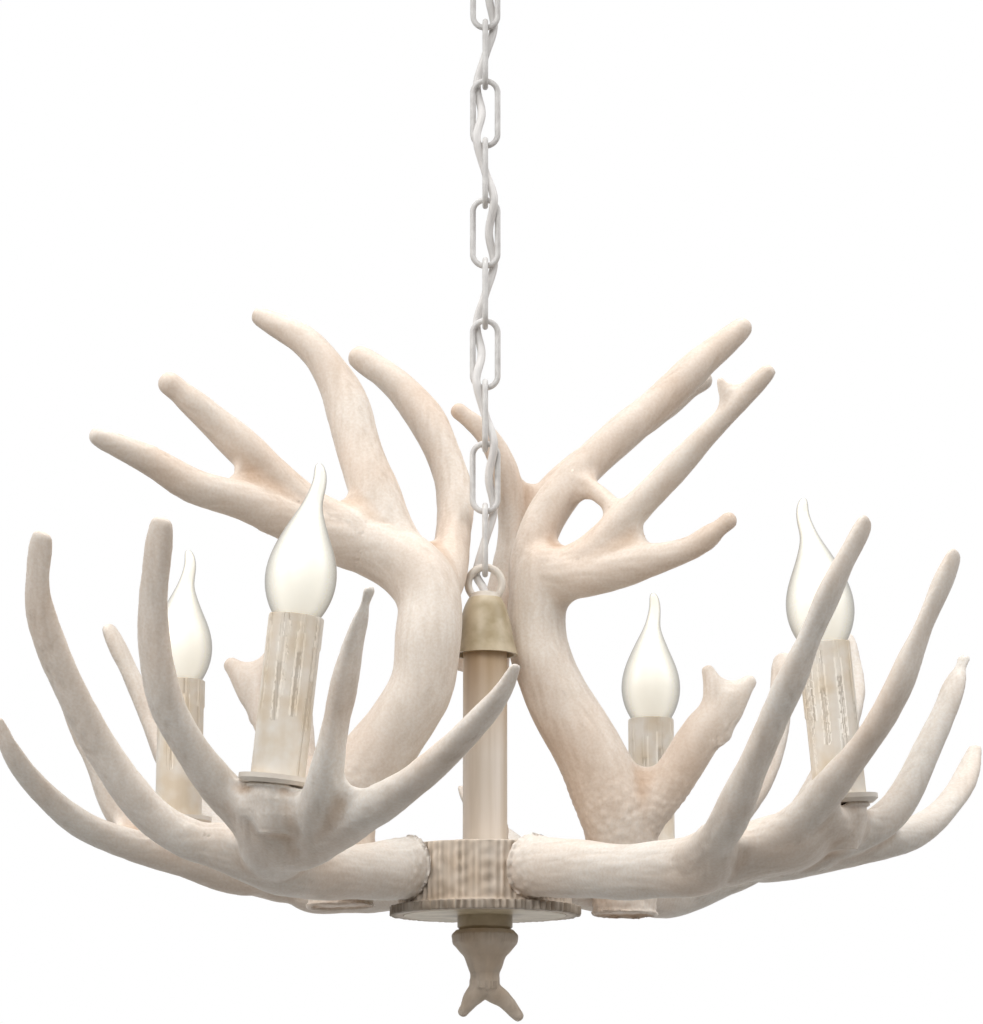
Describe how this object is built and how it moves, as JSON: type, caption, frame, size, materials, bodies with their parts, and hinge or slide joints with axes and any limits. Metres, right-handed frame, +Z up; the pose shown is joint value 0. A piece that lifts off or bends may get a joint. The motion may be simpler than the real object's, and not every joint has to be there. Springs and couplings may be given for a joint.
{
  "type": "antler chandelier",
  "caption": "White antler chandelier on a link chain: branching antler arms around a central hub hold upright candle lights, with more antlers standing above and a forked finial below.",
  "frame": {"origin": "in the ceiling plane, midway between the two ceiling bolt holes, on the centre line of the canopy, chain and column", "axes": "+Z up into the ceiling, so the light hangs towards -Z; -Y towards the viewer of the picture, +X to the viewer's right"},
  "size_m": [0.5822, 0.5835, 0.7218],
  "materials": {
    "white_metal": "satin",
    "zinc_steel": "satin",
    "cream_resin": "matte",
    "hub_resin": "matte",
    "white_cord": "satin",
    "sleeve_plastic": "satin",
    "holder_plastic": "matte",
    "bulb_glass": "frosted",
    "cap_metal": "satin"
  },
  "bodies": {
    "ceiling_group": {"mounting_crossbar": "zinc_steel", "canopy": "white_metal", "hanger_nipple": "zinc_steel", "nipple_nuts": "zinc_steel", "screw_collar": "white_metal", "canopy_loop": "white_metal", "terminal_block": "holder_plastic", "block_screw": "zinc_steel"},
    "top_link": {"chain_link_01": "white_metal"},
    "chain": {"chain_link_02": "white_metal", "chain_link_03": "white_metal", "chain_link_04": "white_metal", "chain_link_05": "white_metal", "chain_link_06": "white_metal", "chain_link_07": "white_metal", "chain_link_08": "white_metal", "chain_link_09": "white_metal", "supply_cable": "white_cord"},
    "bottom_link": {"chain_link_10": "white_metal"},
    "light": {"body_loop": "white_metal", "top_cap": "white_metal", "column_tube": "white_metal", "tie_rod": "zinc_steel", "rod_nuts": "zinc_steel", "hub": "hub_resin", "hub_cover": "white_metal", "finial": "hub_resin", "antler_screws": "zinc_steel", "upper_screws": "zinc_steel", "lower_antler_front_left": "cream_resin", "lower_antler_front_right": "cream_resin", "lower_antler_back_right": "cream_resin", "lower_antler_back_left": "cream_resin", "upper_antler_left": "cream_resin", "upper_antler_right": "cream_resin", "upper_antler_back": "cream_resin", "drip_cup_front_left": "white_metal", "lampholder_front_left": "holder_plastic", "candle_sleeve_front_left": "sleeve_plastic", "drip_cup_front_right": "white_metal", "lampholder_front_right": "holder_plastic", "candle_sleeve_front_right": "sleeve_plastic", "drip_cup_back_right": "white_metal", "lampholder_back_right": "holder_plastic", "candle_sleeve_back_right": "sleeve_plastic", "drip_cup_back_left": "white_metal", "lampholder_back_left": "holder_plastic", "candle_sleeve_back_left": "sleeve_plastic"},
    "bulb_front_left": {"bulb_glass_front_left": "bulb_glass", "bulb_cap_front_left": "cap_metal"},
    "bulb_front_right": {"bulb_glass_front_right": "bulb_glass", "bulb_cap_front_right": "cap_metal"},
    "bulb_back_right": {"bulb_glass_back_right": "bulb_glass", "bulb_cap_back_right": "cap_metal"},
    "bulb_back_left": {"bulb_glass_back_left": "bulb_glass", "bulb_cap_back_left": "cap_metal"}
  },
  "joints": [
    {"name": "top_link_swing", "type": "hinge", "parent": "ceiling_group", "child": "top_link", "pos_m": [0, 0, -0.082], "axis": [0, 1, 0], "range_deg": [-15, 15], "deforming": ["supply_cable"]},
    {"name": "chain_swing", "type": "hinge", "parent": "top_link", "child": "chain", "pos_m": [0, 0, -0.11935], "axis": [1, 0, 0], "range_deg": [-15, 15], "deforming": ["supply_cable"]},
    {"name": "bottom_link_swing", "type": "hinge", "parent": "chain", "child": "bottom_link", "pos_m": [0, 0, -0.42215], "axis": [1, 0, 0], "range_deg": [-8, 8], "deforming": ["supply_cable"]},
    {"name": "light_swing", "type": "hinge", "parent": "bottom_link", "child": "light", "pos_m": [0, 0, -0.46], "axis": [0, 1, 0], "range_deg": [-8, 8], "deforming": ["supply_cable"]},
    {"name": "bulb_unscrew_front_left", "type": "hinge", "parent": "light", "child": "bulb_front_left", "pos_m": [-0.10048, -0.19741, -0.52934], "axis": [0.1045, -0.0347, 0.9939], "range_deg": [0, 720]},
    {"name": "bulb_unscrew_front_right", "type": "hinge", "parent": "light", "child": "bulb_front_right", "pos_m": [0.18958, -0.10672, -0.52917], "axis": [-0.0872, -0.0174, 0.996], "range_deg": [0, 720]},
    {"name": "bulb_unscrew_back_right", "type": "hinge", "parent": "light", "child": "bulb_back_right", "pos_m": [0.10702, 0.19548, -0.52885], "axis": [0, 0, 1], "range_deg": [0, 720]},
    {"name": "bulb_unscrew_back_left", "type": "hinge", "parent": "light", "child": "bulb_back_left", "pos_m": [-0.18987, 0.11615, -0.51585], "axis": [0, 0, 1], "range_deg": [0, 720]}
  ]
}
